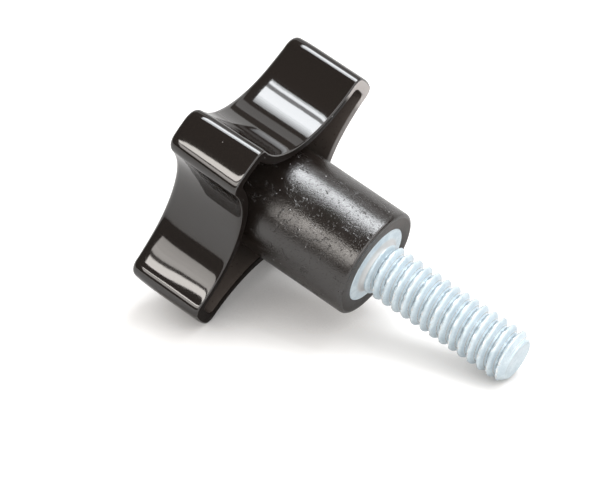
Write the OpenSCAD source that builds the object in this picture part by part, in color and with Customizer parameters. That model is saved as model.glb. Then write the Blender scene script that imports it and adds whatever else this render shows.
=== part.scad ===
// Four-lobe clamping knob: a hollow moulded head on a long hub, with a steel
// threaded stud moulded into the hub. It stands on the closed top of its head:
// the thread's axis is Z, z = 0 is that top, and the stud points up from the
// clamping face, where the hub and the stud's collar end flush. Millimetres.

/* [Head] */
// Diameter over the tips of the lobes
head_d = 32; // [27:0.5:42]
// Number of lobes round the head, one of them on +X
lobes = 4; // [3:1:4]
// Height of the head, from its closed top to its open rim
head_h = 9.5; // [7:0.5:16]
// Distance across the head between the bottoms of opposite finger hollows
waist_d = 17.5; // [16:0.1:22]
// Radius of each finger hollow
grip_r = 11; // [9:0.1:14]
// Radius that rounds both corners of a lobe's tip
tip_corner_r = 1.1; // [0.5:0.1:1.6]

/* [Walls] */
// Thickness of the wall behind each finger hollow
grip_wall = 1.2; // [0.8:0.1:1.5]
// Thickness of the wall at the tip of each lobe
tip_wall = 1.4; // [0.8:0.1:2.2]
// Thickness of the closed top
roof_t = 1.8; // [1:0.1:4]

/* [Hub] */
// Diameter of the hub
hub_d = 12.8; // [11:0.1:13.5]
// Length of hub that stands out past the rim of the head
hub_l = 12.7; // [6:0.1:30]
// Width of the bevel round the end of the hub
hub_bevel = 0.4; // [0.1:0.1:1]

/* [Thread] */
// Major diameter of the thread
thread_d = 6.22; // [5:0.01:7.5]
// Pitch of the thread
pitch = 1.27; // [0.8:0.01:1.5]
// Length of the stud, from the clamping face to its end
stud_l = 19.05; // [8:0.05:60]
// Bevel at the end of the stud
end_bevel = 0.8; // [0.4:0.1:1.2]

/* [Collar] */
// Diameter of the collar that shows flush in the end of the hub
collar_d = 9.2; // [8.6:0.1:9.8]
// Length of the plain collar, down from the clamping face
collar_l = 2.6; // [1:0.1:4]
// Diameter at which the neck meets the collar's face
neck_d = 7.6; // [7:0.1:8.4]
// Height of the neck, up from the clamping face
neck_h = 0.7; // [0.3:0.1:1.2]

/* [Anchor] */
// Length of the whole anchor inside the hub, collar included
anchor_l = 12; // [8:0.1:18]
// Width of the ring groove that holds the stud against pulling
ring_w = 1.6; // [0.8:0.1:2.4]
// Depth of the ring groove
ring_depth = 0.8; // [0.3:0.1:1.1]
// Number of flutes that hold the stud against turning
flutes = 12; // [6:1:16]
// Radius of each flute
flute_r = 0.6; // [0.3:0.05:0.75]

/* [Hidden] */

tip_r = head_d / 2;
grip_c = waist_d / 2 + grip_r;      // from the axis to the centre of a finger hollow
sector = 360 / lobes;
seat_z = head_h + hub_l;            // clamping face, at the end of the hub
thread_r = thread_d / 2;
thread_depth = 0.6134 * pitch;      // unified form: 60 degree flanks, flat root
root_w = pitch / 4;
flank_slope = tan(30);
proud = 0.1;                        // how far a groove's cut reaches past the crests
lap = 2;                            // angle by which two half turns of the groove overlap
run_out = 3;                        // half turns over which the groove reaches its depth
round_fn = 96;

// A lobe's corner arc touches the tip circle and the edge of the finger hollow.
corner_c = tip_r - tip_corner_r;
corner_a = sector / 2 - acos((grip_c * grip_c + corner_c * corner_c
                              - (grip_r + tip_corner_r) * (grip_r + tip_corner_r))
                             / (2 * grip_c * corner_c));

function polar(r, a) = [r * cos(a), r * sin(a)];

// The sliver of a lobe's sharp corner that lies outside its corner arc.
module corner_sliver() {
    c = polar(corner_c, corner_a);
    g = polar(grip_c, sector / 2);
    to_grip = (g - c) / norm(g - c);
    on_tip = polar(tip_r + tip_corner_r, corner_a);
    on_grip = c + 2 * tip_corner_r * to_grip;
    difference() {
        polygon([c, on_tip, on_tip + tip_corner_r * to_grip + polar(tip_corner_r, corner_a),
                 on_grip]);
        translate(c) circle(tip_corner_r, $fn = round_fn);
    }
}

// Outline of the head, or of its inside when the walls are taken off it.
module head_outline(tip, side) {
    difference() {
        circle(tip_r - tip, $fn = round_fn);
        for (i = [0 : lobes - 1])
            rotate((i + 0.5) * sector) translate([grip_c, 0]) circle(grip_r + side, $fn = round_fn);
    }
}

module rounded_outline() {
    difference() {
        head_outline(0, 0);
        for (i = [0 : lobes - 1]) rotate(i * sector) {
            corner_sliver();
            mirror([0, 1]) corner_sliver();
        }
    }
}

// Everything of the stud that lies below the clamping face, inside the hub. The
// hub's cavity for it is the same shape.
module anchor() translate([0, 0, seat_z]) {
    r = collar_d / 2;
    ring_top = -collar_l;
    difference() {
        rotate_extrude($fn = round_fn)
            polygon([[0, -anchor_l], [r - ring_depth, -anchor_l], [r, -anchor_l + ring_depth],
                     [r, ring_top - ring_w], [r - ring_depth, ring_top - ring_w],
                     [r - ring_depth, ring_top], [r, ring_top], [r, 0], [0, 0]]);
        for (i = [0 : flutes - 1])
            rotate(i * 360 / flutes) translate([r, 0, -anchor_l - 1])
                cylinder(h = anchor_l - collar_l - ring_w + 1, r = flute_r, $fn = 24);
    }
}

// One knob moulding: lobed head, hollow from the rim side, and the long hub.
module knob() color("#1f1b19") {
    difference() {
        union() {
            difference() {
                linear_extrude(head_h) rounded_outline();
                translate([0, 0, roof_t]) linear_extrude(head_h) head_outline(tip_wall, grip_wall);
            }
            rotate_extrude($fn = round_fn)
                polygon([[0, roof_t / 2], [hub_d / 2, roof_t / 2],
                         [hub_d / 2, seat_z - hub_bevel], [hub_d / 2 - hub_bevel, seat_z],
                         [0, seat_z]]);
        }
        anchor();
    }
}

// Groove between the crests of a right-hand thread. Each half turn is half a ring,
// tilted so that it climbs half a pitch, and the first ones are shallow.
module groove() {
    low = neck_h + 0.75 * pitch;
    half_turns = ceil((stud_l - low) / (pitch / 2)) + 1;
    tilt = atan(pitch / 4 / (thread_r - thread_depth / 2));
    outer = thread_r + proud;
    outer_w = root_w / 2 + (thread_depth + proud) * flank_slope;
    for (i = [0 : half_turns - 1]) {
        depth = thread_depth * min(1, (i + 1) / run_out);
        inner_w = outer_w - (depth + proud) * flank_slope;
        translate([0, 0, low + i * pitch / 2])
            rotate([0, i % 2 == 0 ? tilt : -tilt, 0])
                rotate((i % 2) * 180 - lap) rotate_extrude(angle = 180 + 2 * lap, $fn = round_fn)
                    polygon([[thread_r - depth, -inner_w], [outer, -outer_w],
                             [outer, outer_w], [thread_r - depth, inner_w]]);
    }
}

// One steel stud: thread, neck, collar and the anchor moulded into the hub.
module stud() color("#c3d3dc") {
    anchor();
    translate([0, 0, seat_z]) difference() {
        rotate_extrude($fn = round_fn)
            polygon([[0, 0], [neck_d / 2, 0], [thread_r, neck_h], [thread_r, stud_l - end_bevel],
                     [thread_r - end_bevel, stud_l], [0, stud_l]]);
        groove();
    }
}

knob();
stud();
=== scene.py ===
"""A clamping knob: a hollow four-lobed head on a long hub, moulded round a zinc-plated threaded stud.
It lies on a white table, resting on two of its lobes and on the end of the stud."""

import math

import bmesh
import bpy
from mathutils import Matrix, Vector, noise


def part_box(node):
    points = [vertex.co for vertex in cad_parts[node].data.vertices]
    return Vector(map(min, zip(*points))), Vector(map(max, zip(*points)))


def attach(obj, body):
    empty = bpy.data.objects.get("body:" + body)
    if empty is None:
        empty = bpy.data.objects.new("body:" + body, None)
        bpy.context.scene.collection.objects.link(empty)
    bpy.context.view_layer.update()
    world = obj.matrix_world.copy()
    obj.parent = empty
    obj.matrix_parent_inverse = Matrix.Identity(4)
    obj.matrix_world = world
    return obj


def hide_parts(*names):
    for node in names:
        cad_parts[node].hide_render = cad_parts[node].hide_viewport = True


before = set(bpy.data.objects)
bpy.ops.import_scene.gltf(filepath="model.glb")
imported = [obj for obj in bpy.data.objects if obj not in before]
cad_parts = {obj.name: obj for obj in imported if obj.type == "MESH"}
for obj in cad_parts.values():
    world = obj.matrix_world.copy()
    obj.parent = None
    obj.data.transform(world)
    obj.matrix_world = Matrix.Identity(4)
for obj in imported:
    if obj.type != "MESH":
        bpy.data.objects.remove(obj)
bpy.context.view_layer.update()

mm = 0.001
knob_low, knob_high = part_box("knob")
stud_low, stud_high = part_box("stud")
seat_z = knob_high.z


# --- The stud -----------------------------------------------------------------------------------
# A quarter-inch steel stud, cold headed with a plain collar, thread rolled, then zinc plated.
# It goes into the mould first and the knob is moulded round its anchor, so only the collar's
# face, the neck and the thread are ever seen.

pitch = 1.27 * mm
thread_r = 3.08 * mm
root_r = 2.33 * mm
shank_r = 2.9 * mm
end_r = 2.36 * mm
neck_h = 0.5 * mm
thread_start = seat_z + neck_h
thread_end = stud_high.z - 0.05 * mm
first_crest = 0.18 * mm  # a crest's height above the clamping face, at minus the next angle
crest_turn = 88.2
flank_rise = 0.27 * mm  # how far above a crest its two flanks would meet
lower_edge = 0.05 * mm  # roundings of a crest, of the root and of the stud's end
upper_edge = 0.30 * mm
root_fillet = 0.16 * mm
end_fillet = 0.12 * mm
raggedness = 0.09 * mm
run_in_start = 0.45 * mm  # over this height the first turn grows out of the plain shank
run_in = 0.5 * mm
rows_per_turn = 20
columns = 132


def smooth_min(a, b, blend):
    near = max(blend - abs(a - b), 0.0) / blend
    return min(a, b) - near * near * blend / 4


def smooth_max(a, b, blend):
    return -smooth_min(-a, -b, blend)


def add_ring(bm, points):
    return [bm.verts.new(p) for p in points]


def add_band(bm, first, second, finish=0):
    """Joins two rings with four-sided faces."""
    count = len(first)
    for i in range(count):
        j = (i + 1) % count
        face = bm.faces.new((first[i], first[j], second[j], second[i]))
        face.material_index = finish
        face.smooth = True


def add_cap(bm, edge, finish=0, reverse=False):
    face = bm.faces.new(edge[::-1] if reverse else edge)
    face.material_index = finish


def circle(radius, z):
    angles = [2 * math.pi * i / columns for i in range(columns)]
    return [Vector((radius * math.cos(a), radius * math.sin(a), z)) for a in angles]


def arc(centre_r, centre_z, radius, start, end, steps):
    """Points (r, z) along part of a circle in the profile; the angles are in degrees."""
    made = []
    for i in range(steps + 1):
        a = math.radians(start + (end - start) * i / steps)
        made.append((centre_r + radius * math.cos(a), centre_z + radius * math.sin(a)))
    return made


def finish_mesh(bm, name, materials):
    bmesh.ops.recalc_face_normals(bm, faces=bm.faces)
    mesh = bpy.data.meshes.new(name)
    bm.to_mesh(mesh)
    bm.free()
    mesh.set_sharp_from_angle(angle=math.radians(35))
    made = bpy.data.objects.new(name, mesh)
    bpy.context.scene.collection.objects.link(made)
    for material in materials:
        mesh.materials.append(material)
    made.modifiers.new("even shading", "WEIGHTED_NORMAL").keep_sharp = True
    return made


class Shade:
    """A value in a material. Sums on it make the nodes that work them out."""

    def __init__(self, tree, socket):
        self.tree = tree
        self.socket = socket

    def feed(self, socket, value):
        if isinstance(value, Shade):
            self.tree.links.new(value.socket, socket)
        elif isinstance(value, (tuple, list)) and socket.type == "RGBA":
            socket.default_value = (*value, 1.0)
        else:
            socket.default_value = value

    def node(self, kind, settings, inputs, output=0):
        made = self.tree.nodes.new(kind)
        for name, value in settings.items():
            setattr(made, name, value)
        for name, value in inputs.items():
            self.feed(made.inputs[name], value)
        return Shade(self.tree, made.outputs[output] if made.outputs else None)

    def maths(self, operation, *values):
        return self.node("ShaderNodeMath", {"operation": operation}, dict(enumerate(values)))

    def __add__(self, other):
        return self.maths("ADD", self, other)

    def __radd__(self, other):
        return self.maths("ADD", other, self)

    def __sub__(self, other):
        return self.maths("SUBTRACT", self, other)

    def __rsub__(self, other):
        return self.maths("SUBTRACT", other, self)

    def __mul__(self, other):
        return self.maths("MULTIPLY", self, other)

    def __rmul__(self, other):
        return self.maths("MULTIPLY", other, self)

    def __truediv__(self, other):
        return self.maths("DIVIDE", self, other)

    def __rtruediv__(self, other):
        return self.maths("DIVIDE", other, self)

    def step(self, low, high):
        """0 below low, 1 above high, smooth between."""
        return self.node(
            "ShaderNodeMapRange",
            {"interpolation_type": "SMOOTHSTEP"},
            {"Value": self, "From Min": low, "From Max": high},
        )

    def band(self, low, full, fading, high):
        """1 from full to fading, 0 below low and above high."""
        return self.step(low, full) * (1 - self.step(fading, high))

    def mix(self, first, second):
        """The first colour where this value is 0, the second where it is 1."""
        return self.node(
            "ShaderNodeMix",
            {"data_type": "RGBA"},
            {0: self, 6: first, 7: second},
            output=2,
        )

    def stretched(self, x, y, z):
        return self.node("ShaderNodeVectorMath", {"operation": "MULTIPLY"}, {0: self, 1: (x, y, z)})

    def parts(self):
        """The three numbers of a place."""
        split = self.node("ShaderNodeSeparateXYZ", {}, {"Vector": self})
        return [Shade(self.tree, socket) for socket in split.socket.node.outputs]

    def noise(self, scale, detail=2.0, roughness=0.5):
        return self.node(
            "ShaderNodeTexNoise",
            {},
            {"Vector": self, "Scale": scale, "Detail": detail, "Roughness": roughness},
        )

    def specks(self, scale, radius, share):
        """1 on small scattered round spots; the share is how many of the spots are there."""
        cells = self.node("ShaderNodeTexVoronoi", {}, {"Vector": self, "Scale": scale})
        chosen = Shade(self.tree, cells.socket.node.outputs["Color"]).step(1 - share, 1.001 - share)
        return (1 - cells.step(0.6 * radius * scale, radius * scale)) * chosen

    def bump(self, distance, under=None):
        inputs = {"Height": self, "Distance": distance}
        if under is not None:
            inputs["Normal"] = under
        return self.node("ShaderNodeBump", {}, inputs)


def new_material(name):
    """An empty material, and where a point of the surface lies, in millimetres."""
    material = bpy.data.materials.new(name)
    material.use_nodes = True
    tree = material.node_tree
    tree.nodes.clear()
    start = Shade(tree, None)
    place = start.node("ShaderNodeTexCoord", {}, {}, output="Object").stretched(1000, 1000, 1000)
    return material, place


def set_surface(place, inputs):
    """Gives the material a principled surface with these inputs."""
    surface = place.node("ShaderNodeBsdfPrincipled", {}, inputs)
    place.node("ShaderNodeOutputMaterial", {}, {"Surface": surface})


def thread_radius(angle, z):
    """The stud's radius. Rolling leaves a crest with a round upper edge and a sharp, slightly
    ragged lower one; the first turn grows out of the shank and the last ends in a bevel."""
    above = z - seat_z
    crest = first_crest + pitch * (math.degrees(angle) + crest_turn) / 360
    turn = (above - crest) / pitch + 0.5
    phase = turn % 1.0 - 0.5
    from_crest = abs(phase) * pitch
    rounding = upper_edge
    if phase < 0:
        spot = Vector((math.cos(angle) * 5, math.sin(angle) * 5, math.floor(turn)))
        from_crest += raggedness * min(max(noise.noise(spot) * 4, -0.3), 1.0)
        rounding = lower_edge
    flank = thread_r + flank_rise - from_crest * math.sqrt(3)
    full = smooth_max(root_r, smooth_min(thread_r, flank, rounding), root_fillet)
    start = min(max((above - run_in_start) / run_in, 0.0), 1.0)
    radius = shank_r + (full - shank_r) * start * start * (3 - 2 * start)
    bevel = thread_end - z + end_r
    return smooth_min(radius, bevel, end_fillet)


# Each column of points starts a little higher than the one before, so the rows climb with the
# thread; after a turn a row meets the one that started a pitch above it.
bm = bmesh.new()
row_step = pitch / rows_per_turn
row_count = math.ceil((thread_end - thread_start) / row_step) + rows_per_turn + 2
grid = []
for i in range(columns):
    angle = 2 * math.pi * i / columns
    column = []
    for row in range(row_count):
        z = thread_start + (row - rows_per_turn) * row_step + pitch * i / columns
        z = min(max(z, thread_start), thread_end)
        if column and column[-1].co.z >= z - 0.01 * row_step:
            column.append(column[-1])
            continue
        radius = thread_radius(angle, z)
        column.append(bm.verts.new((radius * math.cos(angle), radius * math.sin(angle), z)))
    grid.append(column)
for i in range(columns):
    after = grid[(i + 1) % columns]
    shift = rows_per_turn if i == columns - 1 else 0
    for row in range(row_count - 1 - shift):
        corners = (grid[i][row], after[row + shift], after[row + 1 + shift], grid[i][row + 1])
        corners = list(dict.fromkeys(corners))
        if len(corners) > 2:
            bm.faces.new(corners).smooth = True
thread_foot = [column[0] for column in grid]
thread_tip = [column[-1] for column in grid]

# The rolled end is a little hollow, with a soft lip.
edge = thread_tip
for radius, below in ((2.27, 0.0), (2.08, 0.03), (1.5, 0.10), (0.5, 0.13)):
    ring = add_ring(bm, circle(radius * mm, stud_high.z - below * mm))
    add_band(bm, edge, ring)
    edge = ring
add_cap(bm, edge)

# The neck sweeps out into the collar's face; the anchor below it, with its ring groove, is out
# of sight.
neck_r = 3.85 * mm
neck_sweep = 0.9 * mm
face_r = 4.3 * mm
collar_r = stud_high.x - 0.03 * mm
collar_edge = 0.06 * mm
groove_r = 3.8 * mm
groove_top = seat_z - 2.6 * mm
groove_foot = seat_z - 4.2 * mm
anchor_bevel = 0.8 * mm
profile = arc(neck_r, 0, neck_sweep, 180, 270, 8)
profile = [(r, thread_start + z * neck_h / neck_sweep) for r, z in profile]
profile += [(face_r, seat_z), (collar_r - collar_edge, seat_z), (collar_r, seat_z - collar_edge)]
profile += [(collar_r, groove_top), (groove_r, groove_top), (groove_r, groove_foot)]
profile += [(collar_r, groove_foot), (collar_r, stud_low.z + anchor_bevel), (groove_r, stud_low.z)]
edge = thread_foot
for radius, z in profile[1:]:
    ring = add_ring(bm, circle(radius, z))
    add_band(bm, ring, edge)
    edge = ring
add_cap(bm, edge, reverse=True)

# The plate is a mottled blue-white. Painted highlights, in the base colour, run in broken patches
# along the lower edge of each crest and in a fine line along the middle of each root, where the
# plate is also a little smoother; the flank below a crest is darkened with painted shade, and the
# neck is tinted warm grey as a painted reflection.
# The bands are in millimetres: from the crest's middle along the stud, or up from the seat.
zinc, place = new_material("bright zinc plate")
grain = place.noise(6.0, 4.0, 0.6)
cloud = place.noise(0.9, 2.0)
x, y, z = place.parts()
height = z - seat_z / mm
turns = (height - first_crest / mm) / (pitch / mm)
turns = turns - y.maths("ARCTAN2", y, x) / (2 * math.pi) - crest_turn / 360 + 0.5
past_crest = (turns.maths("FRACT", turns) - 0.5) * (pitch / mm)
broken = place.noise(1.5, 2.0).step(0.42, 0.48)
ragged = past_crest + 0.35 * (place.noise(2.2, 3.0) - 0.5)
stud_top = (thread_end - seat_z) / mm
in_thread = height.band(0.8, 1.2, stud_top - 0.4, stud_top - 0.2)
# The neck's warm grey tint is a painted reflection.
painted_neck_reflection = height.band(0.0, 0.15, 0.5, 0.6)
# Painted highlights: broken patches on each crest's lower edge, a fine line in each root's middle.
crest_painted_highlight = ragged.band(-0.17, -0.15, -0.03, -0.01) * broken
root_painted_highlight = past_crest.band(0.42, 0.44, 0.51, 0.53)
painted_highlights_and_burnish = (crest_painted_highlight + 0.9 * root_painted_highlight) * in_thread
# Painted shade on the flank under each crest's lip.
painted_flank_shade = ragged.band(-0.62, -0.56, -0.34, -0.28) * in_thread
mottle = cloud.step(0.35, 0.65) * 0.5 + grain.step(0.3, 0.7) * 0.5
plate = mottle.mix((0.60, 0.715, 0.785), (0.80, 0.905, 0.96))
plate = (painted_neck_reflection * 0.8).mix(plate, (0.66, 0.645, 0.63))
plate = (painted_flank_shade * 0.9).mix(plate, (0.26, 0.31, 0.35))
set_surface(
    place,
    {
        "Base Color": painted_highlights_and_burnish.mix(plate, (0.95, 0.99, 1.0)),
        "Metallic": 0.35,
        "Roughness": (0.40 + 0.16 * grain) * (1 - 0.5 * painted_highlights_and_burnish),
        "Normal": grain.bump(0.012 * mm),
        "Coat Weight": 0.6,
        "Coat Roughness": 0.16,
        "Coat IOR": 1.7,
    },
)
stud = finish_mesh(bm, "threaded_stud", [zinc])
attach(stud, "root")
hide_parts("stud")


# --- The knob -----------------------------------------------------------------------------------
# One compression moulding in glossy black plastic: a four-lobed head, cored out from the hub's
# side to an even wall, and a long plain hub. The mould is polished for the head and only
# machined for the hub, which comes out satin with flow marks and specks.

tip_r = knob_high.x
head_z = 9.5 * mm
hub_r = 6.4 * mm
grip_c = 19.75 * mm  # from the axis to the centre of a finger hollow
grip_r = 11.0 * mm
corner_r = 1.25 * mm
inner_corner_r = 0.75 * mm
crown = 11.5 * mm  # radius of a lobe's tip
grip_wall = 1.2 * mm
tip_wall = 1.4 * mm
floor_z = 1.8 * mm
draft = 0.06 * mm  # how far the outside and the inside lean in over the head's height
inner_draft = 0.12 * mm
top_roll_z = 3 * mm  # below this height the outside rolls in towards the closed top
top_roll = 0.17 * mm
roll_z = 8.9 * mm  # and above this one towards the rim
rim_roll = 0.16 * mm
top_edge = 0.85 * mm
outer_lip = 0.16 * mm
inner_lip = 0.12 * mm
floor_root = 0.5 * mm
hub_root = 0.4 * mm
hub_edge = 0.4 * mm
gloss, satin, rim, end_face, coring = range(5)
crown_steps = 6
corner_steps = 8
hollow_steps = 26


def lobed_ring(tip, grip, corner, z):
    """A ring round the head: crowned tips, rounded corners and finger hollows, four times.
    Towards the corners the hollows run out a little straighter than a circle, by these degrees
    at the closed top and less towards the rim."""
    straighten_top = 7.0
    straighten_loss = 5.5
    straighten = math.radians(straighten_top - straighten_loss * z / head_z)
    ease = 2.8 * mm
    bulge = ease * math.tan(straighten) / 2
    hollow = Vector((grip_c, 0))
    hollow.rotate(Matrix.Rotation(math.pi / 4, 2))
    crown_centre = Vector((tip - crown, 0))
    spread = hollow - crown_centre
    centre_r = crown - corner
    reach = spread.length_squared + centre_r * centre_r - (grip + bulge + corner) ** 2
    centre_a = math.atan2(spread.y, spread.x) - math.acos(reach / (2 * spread.length * centre_r))
    centre = crown_centre + centre_r * Vector((math.cos(centre_a), math.sin(centre_a)))
    way = hollow - centre
    way_a = math.atan2(way.y, way.x) + straighten
    half = []
    for i in range(crown_steps + 1):
        half.append((crown, centre_a * i / crown_steps, crown_centre))
    for i in range(1, corner_steps + 1):
        half.append((corner, centre_a + (way_a - centre_a) * i / corner_steps, centre))
    corner_end = centre + corner * Vector((math.cos(way_a), math.sin(way_a))) - hollow
    start_a = math.atan2(corner_end.y, corner_end.x)
    extra = corner_end.length - grip
    middle_a = math.atan2(-hollow.y, -hollow.x)
    for i in range(1, hollow_steps + 1):
        a = start_a + (middle_a - start_a) * i / hollow_steps
        run = abs(a - start_a) * grip / ease
        half.append((grip + extra * max(1 - run, 0.0) ** 2, a, hollow))
    upper = [Vector((c.x + r * math.cos(a), c.y + r * math.sin(a))) for r, a, c in half]
    lower = [Vector((p.x, -p.y)) for p in upper[1:-1]][::-1]
    lobe = lower + upper
    ring = []
    for turn in range(4):
        spin = Matrix.Rotation(turn * math.pi / 2, 2)
        ring += [(spin @ p).to_3d() + Vector((0, 0, z)) for p in lobe]
    return ring


def outer_ring(inset, z):
    """A ring on the outside of the head, with its draft and the rolls at its two ends. The
    corners grow a little towards the closed top, and tighten where the ring is drawn in."""
    corner_growth = 0.15 * mm
    tightening = 0.4
    to_top = max(1 - z / top_roll_z, 0.0)
    to_rim = max((z - roll_z) / mm, 0.0)
    inset += draft * (head_z - z) / head_z + top_roll * to_top**2 + rim_roll * to_rim**2
    corner = corner_r + corner_growth * (head_z - z) / head_z - tightening * inset
    return lobed_ring(tip_r - inset, grip_r + inset, corner, z)


def inner_ring(inset, z):
    inset += inner_draft * (head_z - z) / head_z
    return lobed_ring(tip_r - tip_wall - inset, grip_r + grip_wall + inset, inner_corner_r - inset, z)


def towards_circle(ring, radius, z, share):
    """A ring between a lobed ring and a circle, both read at the same angles."""
    made = []
    for p in ring:
        flat = Vector((p.x, p.y))
        mixed = flat.lerp(flat.normalized() * radius, share)
        made.append(Vector((mixed.x, mixed.y, z)))
    return made


def quarter(steps):
    """Sine and cosine at even steps over a quarter circle."""
    angles = [math.pi / 2 * i / steps for i in range(steps + 1)]
    return [(math.sin(a), math.cos(a)) for a in angles]


def even_steps(start, end, steps):
    return [start + (end - start) * i / steps for i in range(1, steps + 1)]


# The rings run from the closed top out and up the outside, over the rim, down the inside, and up
# the hub.
rings = []
top_core_r = 3 * mm
top = outer_ring(top_edge, 0)
for share in (1.0, 0.7, 0.4, 0.15):
    rings.append((towards_circle(top, top_core_r, 0, share), gloss))
for sine, cosine in quarter(6):
    rings.append((outer_ring(top_edge * (1 - sine), top_edge * (1 - cosine)), gloss))
for z in even_steps(top_edge, roll_z, 8) + even_steps(roll_z, head_z - outer_lip, 3):
    rings.append((outer_ring(0, z), gloss))
for sine, cosine in quarter(4)[1:]:
    rings.append((outer_ring(outer_lip * (1 - cosine), head_z - outer_lip * (1 - sine)), gloss))
for sine, cosine in quarter(4):
    rings.append((inner_ring(inner_lip * (sine - 1), head_z - inner_lip * (1 - cosine)), rim))
for z in even_steps(head_z - inner_lip, floor_z + floor_root, 6):
    rings.append((inner_ring(0, z), coring))
for sine, cosine in quarter(4)[1:]:
    rings.append((inner_ring(floor_root * (1 - cosine), floor_z + floor_root * (1 - sine)), coring))
floor_ring = inner_ring(floor_root, floor_z)
for share in (0.5, 1.0):
    rings.append((towards_circle(floor_ring, hub_r + hub_root, floor_z, share), coring))
hub_profile = arc(hub_r + hub_root, floor_z + hub_root, hub_root, 270, 180, 4)[1:]
hub_profile += [(hub_r, z) for z in even_steps(floor_z + hub_root, seat_z - hub_edge, 40)]
hub_profile += arc(hub_r - hub_edge, seat_z - hub_edge, hub_edge, 0, 90, 5)[1:]
for radius, z in hub_profile:
    rings.append((towards_circle(floor_ring, radius, z, 1.0), satin))

# The end face, and the cavity that the stud's anchor fills, a hair's breadth clear of it.
play = 0.03 * mm
mouth_r = 4.68 * mm
mouth_h = 0.05 * mm
cavity_r = stud_high.x
waist_r = groove_r + play
cavity = [(mouth_r, seat_z), (cavity_r, seat_z - mouth_h), (cavity_r, groove_top - play)]
cavity += [(waist_r, groove_top - play), (waist_r, groove_foot + play), (cavity_r, groove_foot + play)]
cavity += [(cavity_r, stud_low.z + anchor_bevel - play), (waist_r, stud_low.z - play)]
for radius, z in cavity:
    rings.append((towards_circle(floor_ring, radius, z, 1.0), end_face))

bm = bmesh.new()
edge = add_ring(bm, rings[0][0])
add_cap(bm, edge, gloss, reverse=True)
for points, finish in rings[1:]:
    ring = add_ring(bm, points)
    add_band(bm, edge, ring, finish)
    edge = ring
add_cap(bm, edge, end_face)

# The polished mould leaves a gloss with faint ripples, and a little dust clings to it.
polished, place = new_material("polished black moulding")
ripple = place.noise(0.35, 2.0)
dust = place.specks(1.0, 0.06, 0.15)
set_surface(
    place,
    {
        "Base Color": dust.mix((0.011, 0.0078, 0.006), (0.30, 0.29, 0.28)),
        "Roughness": 0.055 + 0.03 * place.noise(2.0, 4.0) + 0.5 * dust,
        "IOR": 1.55,
        "Specular IOR Level": 1.0,
        "Normal": ripple.bump(0.007 * mm),
    },
)

# The machined mould leaves a satin skin: a fine grain, patches of more and less gloss, a few
# creases where the plastic folded, pale specks, and pits that thin out towards the head.
satin_black, place = new_material("satin black moulding")
grain = place.noise(6.0, 2.0, 0.7)
height = place.parts()[2]
pits = place.specks(3.0, 0.10, 0.75) * height.step(10.5, 15.0)
patches = place.stretched(1, 1, 0.5).noise(0.55, 3.0, 0.6)
specks = place.specks(1.7, 0.08, 0.22)
crease = place.noise(0.42, 4.0, 0.6)
crease = (1 - place.maths("ABSOLUTE", crease - 0.5).step(0.006, 0.022)) * patches.step(0.54, 0.62)
skin = grain * 0.55 - pits * 0.6 - crease * 1.4 + specks
set_surface(
    place,
    {
        "Base Color": specks.mix((0.014, 0.0105, 0.0085), (0.55, 0.55, 0.56)),
        "Roughness": 0.12 + 0.08 * grain + 0.11 * patches.step(0.35, 0.65),
        "IOR": 1.55,
        "Specular IOR Level": 1.0,
        "Normal": skin.bump(0.035 * mm, patches.bump(0.012 * mm)),
    },
)

# The rim's flash is trimmed by hand, which leaves a few nicks; the rim is paler and rougher
# over one lobe's tip and a little of one side.
trimmed, place = new_material("trimmed rim")
x, y, z = place.parts()
pale_reach = 0.8 * place.noise(1.2, 3.0) - y
pale_tip = pale_reach.step(13.0, 14.4)
pale_side = pale_reach.step(4.0, 9.0) * (1 - x.step(-1.0, 0.0)) * (1 - pale_tip)
paleness = pale_tip + 0.45 * pale_side
ragged = place.noise(1.6, 4.0, 0.7)
nicks = place.specks(2.2, 0.10, 0.14)
rim_tone = paleness.mix((0.012, 0.009, 0.0075), (0.62, 0.58, 0.56))
set_surface(
    place,
    {
        "Base Color": (nicks * 0.6).mix(rim_tone, (0.8, 0.8, 0.8)),
        "Roughness": 0.35 + 0.2 * paleness + 0.1 * ragged,
        "Specular IOR Level": 0.03,
        "Normal": ragged.bump(0.01 * mm),
    },
)

# The end face is faced off with a cutter. Its upper side is painted lighter, as painted light, and grain
# mottles it.
machined, place = new_material("machined end face")
grain = place.noise(4.0, 4.0, 0.65)
x, y, z = place.parts()
# Painted light: lighter towards the upper side, mixed with grain.
painted_top_light_and_grain = (x - y).step(-4, 7) * 0.7 + grain.step(0.35, 0.7) * 0.3
set_surface(
    place,
    {
        "Base Color": painted_top_light_and_grain.mix((0.026, 0.022, 0.020), (0.105, 0.092, 0.083)),
        "Roughness": 0.42 + 0.2 * grain,
        "Normal": grain.bump(0.03 * mm),
    },
)

# The core that makes the inside is left as cut, so the inside is dull, and dust settles in it.
cored, place = new_material("cored inside")
grain = place.noise(2.5, 4.0, 0.6)
specks = place.specks(0.8, 0.07, 0.12)
set_surface(
    place,
    {
        "Base Color": specks.mix((0.095, 0.078, 0.068), (0.6, 0.6, 0.6)),
        "Roughness": 0.2 + 0.2 * grain,
        "Normal": grain.bump(0.012 * mm),
    },
)
knob = finish_mesh(bm, "knob_moulding", [polished, satin_black, trimmed, machined, cored])
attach(knob, "root")
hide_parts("knob")


# --- The table ----------------------------------------------------------------------------------
# A white paper sheet. The knob lies on it where it comes to rest by itself: on the rims of two
# neighbouring lobes and on the last crest of the thread. To the camera alone the sheet glows a
# little, so it is white; the glow fades where the sky above it is closed in, which paints extra
# shade under and beside the knob on top of its real shadow.

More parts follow.
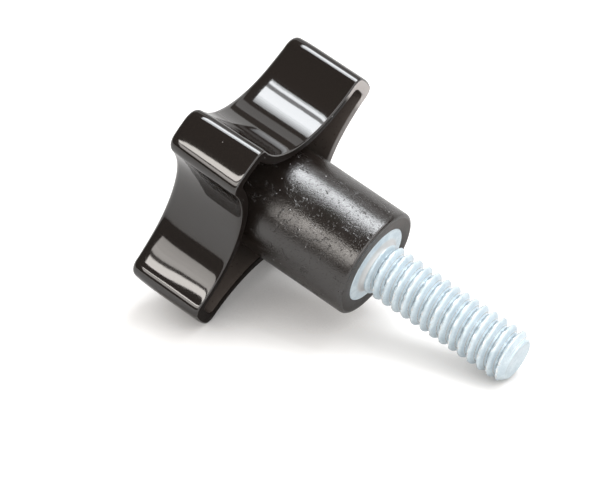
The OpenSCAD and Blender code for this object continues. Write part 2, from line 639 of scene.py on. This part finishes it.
rest_corner = 1.1 * mm  # rounding of the lobes' corners that touch the table
rest_turn = 7.298  # and how far round from its lobe's middle such a corner lies, in degrees
rim_reach = (tip_r - rest_corner) * math.cos(math.radians(45 - rest_turn)) + rest_corner
last_crest = stud_high.z - 0.8 * mm
down = Vector((-1, 1, 0)).normalized()
along = Vector((0, 0, 1))
slope = math.atan2(rim_reach - thread_r, last_crest - head_z)
up = -(down * math.cos(slope) + along * math.sin(slope))
stud_way = along * math.cos(slope) - down * math.sin(slope)
across = up.cross(stud_way)
resting = down * rim_reach + along * head_z
table_reach = 2.0

table_mesh = bpy.data.meshes.new("white table")
corners = []
for x, y in ((-1, -1), (1, -1), (1, 1), (-1, 1)):
    corners.append(resting + (stud_way * x + across * y) * table_reach)
table_mesh.from_pydata([tuple(c) for c in corners], [], [(0, 1, 2, 3)])
table = bpy.data.objects.new("white_table", table_mesh)
bpy.context.scene.collection.objects.link(table)
white, place = new_material("white sheet")
seen_direct = place.node("ShaderNodeLightPath", {}, {}, output="Is Camera Ray")
open_sky = place.node("ShaderNodeAmbientOcclusion", {"samples": 8}, {"Distance": 20 * mm}, output="AO")
# Painted shade: the glow fades where the knob closes in the sky above the sheet.
glow_with_painted_shade = (seen_direct * open_sky.step(0.05, 0.75)).mix((0.0, 0.0, 0.0), (0.55, 0.545, 0.54))
paper = place.node(
    "ShaderNodeBsdfPrincipled",
    {},
    {
        "Base Color": (0.70, 0.69, 0.68),
        "Roughness": 1.0,
        "Specular IOR Level": 0.0,
        "Emission Color": glow_with_painted_shade,
        "Emission Strength": 1.0,
    },
)
clear = place.node("ShaderNodeBsdfTransparent", {}, {})
behind = place.node("ShaderNodeNewGeometry", {}, {}, output="Backfacing")
seen = place.node("ShaderNodeMixShader", {}, {0: behind, 1: paper, 2: clear})
place.node("ShaderNodeOutputMaterial", {}, {"Surface": seen})
table_mesh.materials.append(white)


# --- The light ----------------------------------------------------------------------------------
# A soft box over the table, which fades towards its far edge and has a seam and a strip beside
# it, a side window of two panes, and pale cards behind the knob and past its stud. The room is
# dim, and its walls look white to the camera alone.

centre = (knob_low + knob_high) / 2


def set_facing(thing, position, right, back, roll=0.0):
    """Puts a lamp or a camera at a position, with its right-hand side and its back turned so."""
    spin = Matrix((right, back.cross(right), back)).transposed()
    thing.matrix_world = Matrix.Translation(position) @ spin.to_4x4() @ Matrix.Rotation(roll, 4, "Z")


def add_panel(name, lean, shift, height, width, radiance, colour=(1.0, 1.0, 1.0)):
    """A soft box facing the knob. Its lean is its angle from straight above towards the far side,
    its shift the angle from there towards the way the stud points; its size is in degrees too."""
    distance = 450 * mm
    light = bpy.data.lights.new(name, "AREA")
    light.shape = "RECTANGLE"
    light.size = 2 * distance * math.tan(math.radians(width / 2))
    light.size_y = 2 * distance * math.tan(math.radians(height / 2))
    light.energy = radiance * math.pi * light.size * light.size_y
    light.color = colour
    panel = bpy.data.objects.new(name, light)
    bpy.context.scene.collection.objects.link(panel)
    a = math.radians(lean)
    b = math.radians(shift)
    upright = across * math.sin(a) + up * math.cos(a)
    back = upright * math.cos(b) + stud_way * math.sin(b)
    right = stud_way * math.cos(b) - upright * math.sin(b)
    set_facing(panel, centre + back * distance, right, back)
    panel.visible_camera = False


cool = (0.97, 1.0, 1.03)
warm = (1.05, 1.0, 0.95)
edge_step = 2.5
pane_step = 3.75
add_panel("overhead soft box", lean=16.7, shift=7, height=14.2, width=34, radiance=9.0, colour=cool)
for i, radiance in enumerate((7.4, 5.8, 4.3, 2.9)):
    lean = 25.0 + edge_step * i
    add_panel(f"overhead soft box, fading edge {i}", lean, 7, edge_step, 34, radiance, cool)
add_panel("overhead seam", lean=7.2, shift=7, height=4.6, width=34, radiance=1.6, colour=cool)
add_panel("overhead strip", lean=3.1, shift=7, height=3.8, width=34, radiance=9.0, colour=cool)
add_panel("overhead strip, edge", lean=0.2, shift=7, height=0.7, width=34, radiance=9.0, colour=cool)
add_panel("side window, upper pane", lean=-52.8, shift=-3, height=6.2, width=40, radiance=6.2, colour=warm)
for i, radiance in enumerate((3.1, 2.8, 2.6, 2.4)):
    lean = -60.4 - pane_step * i
    add_panel(f"side window, lower pane {i}", lean, -5, pane_step, 40, radiance, warm)
add_panel("white sweep behind", lean=82, shift=-20, height=34, width=100, radiance=0.8)
add_panel("ceiling behind", lean=47, shift=-8, height=13, width=70, radiance=0.65)
add_panel("white card past the stud", lean=-20, shift=52, height=100, width=50, radiance=1.5)

world = bpy.data.worlds.new("room")
bpy.context.scene.world = world
world.use_nodes = True
world.node_tree.nodes.clear()
room = Shade(world.node_tree, None)
seen_direct = room.node("ShaderNodeLightPath", {}, {}, output="Is Camera Ray")
walls = seen_direct.mix((0.135, 0.126, 0.118), (1.0, 1.0, 1.0))
backdrop = room.node("ShaderNodeBackground", {}, {"Color": walls, "Strength": 1.0})
room.node("ShaderNodeOutputWorld", {}, {"Surface": backdrop})


# --- The camera ---------------------------------------------------------------------------------
# A long lens, looking down on the knob from the side of its stud.

camera = bpy.data.cameras.new("camera")
camera.lens = 300
camera.sensor_width = 36
camera.clip_end = 10
eye = bpy.data.objects.new("camera", camera)
bpy.context.scene.collection.objects.link(eye)
turn = math.radians(-54.8)
lift = math.radians(32.2)
roll = math.radians(-0.8)
eye_distance = 540 * mm
target = Vector((2.5, 2.5, 14.3)) * mm
way = (stud_way * math.cos(turn) + across * math.sin(turn)) * math.cos(lift) + up * math.sin(lift)
position = target + way * eye_distance
back = (position - target).normalized()
set_facing(eye, position, up.cross(back).normalized(), back, roll)
bpy.context.scene.camera = eye

bpy.context.scene.view_settings.view_transform = "Standard"
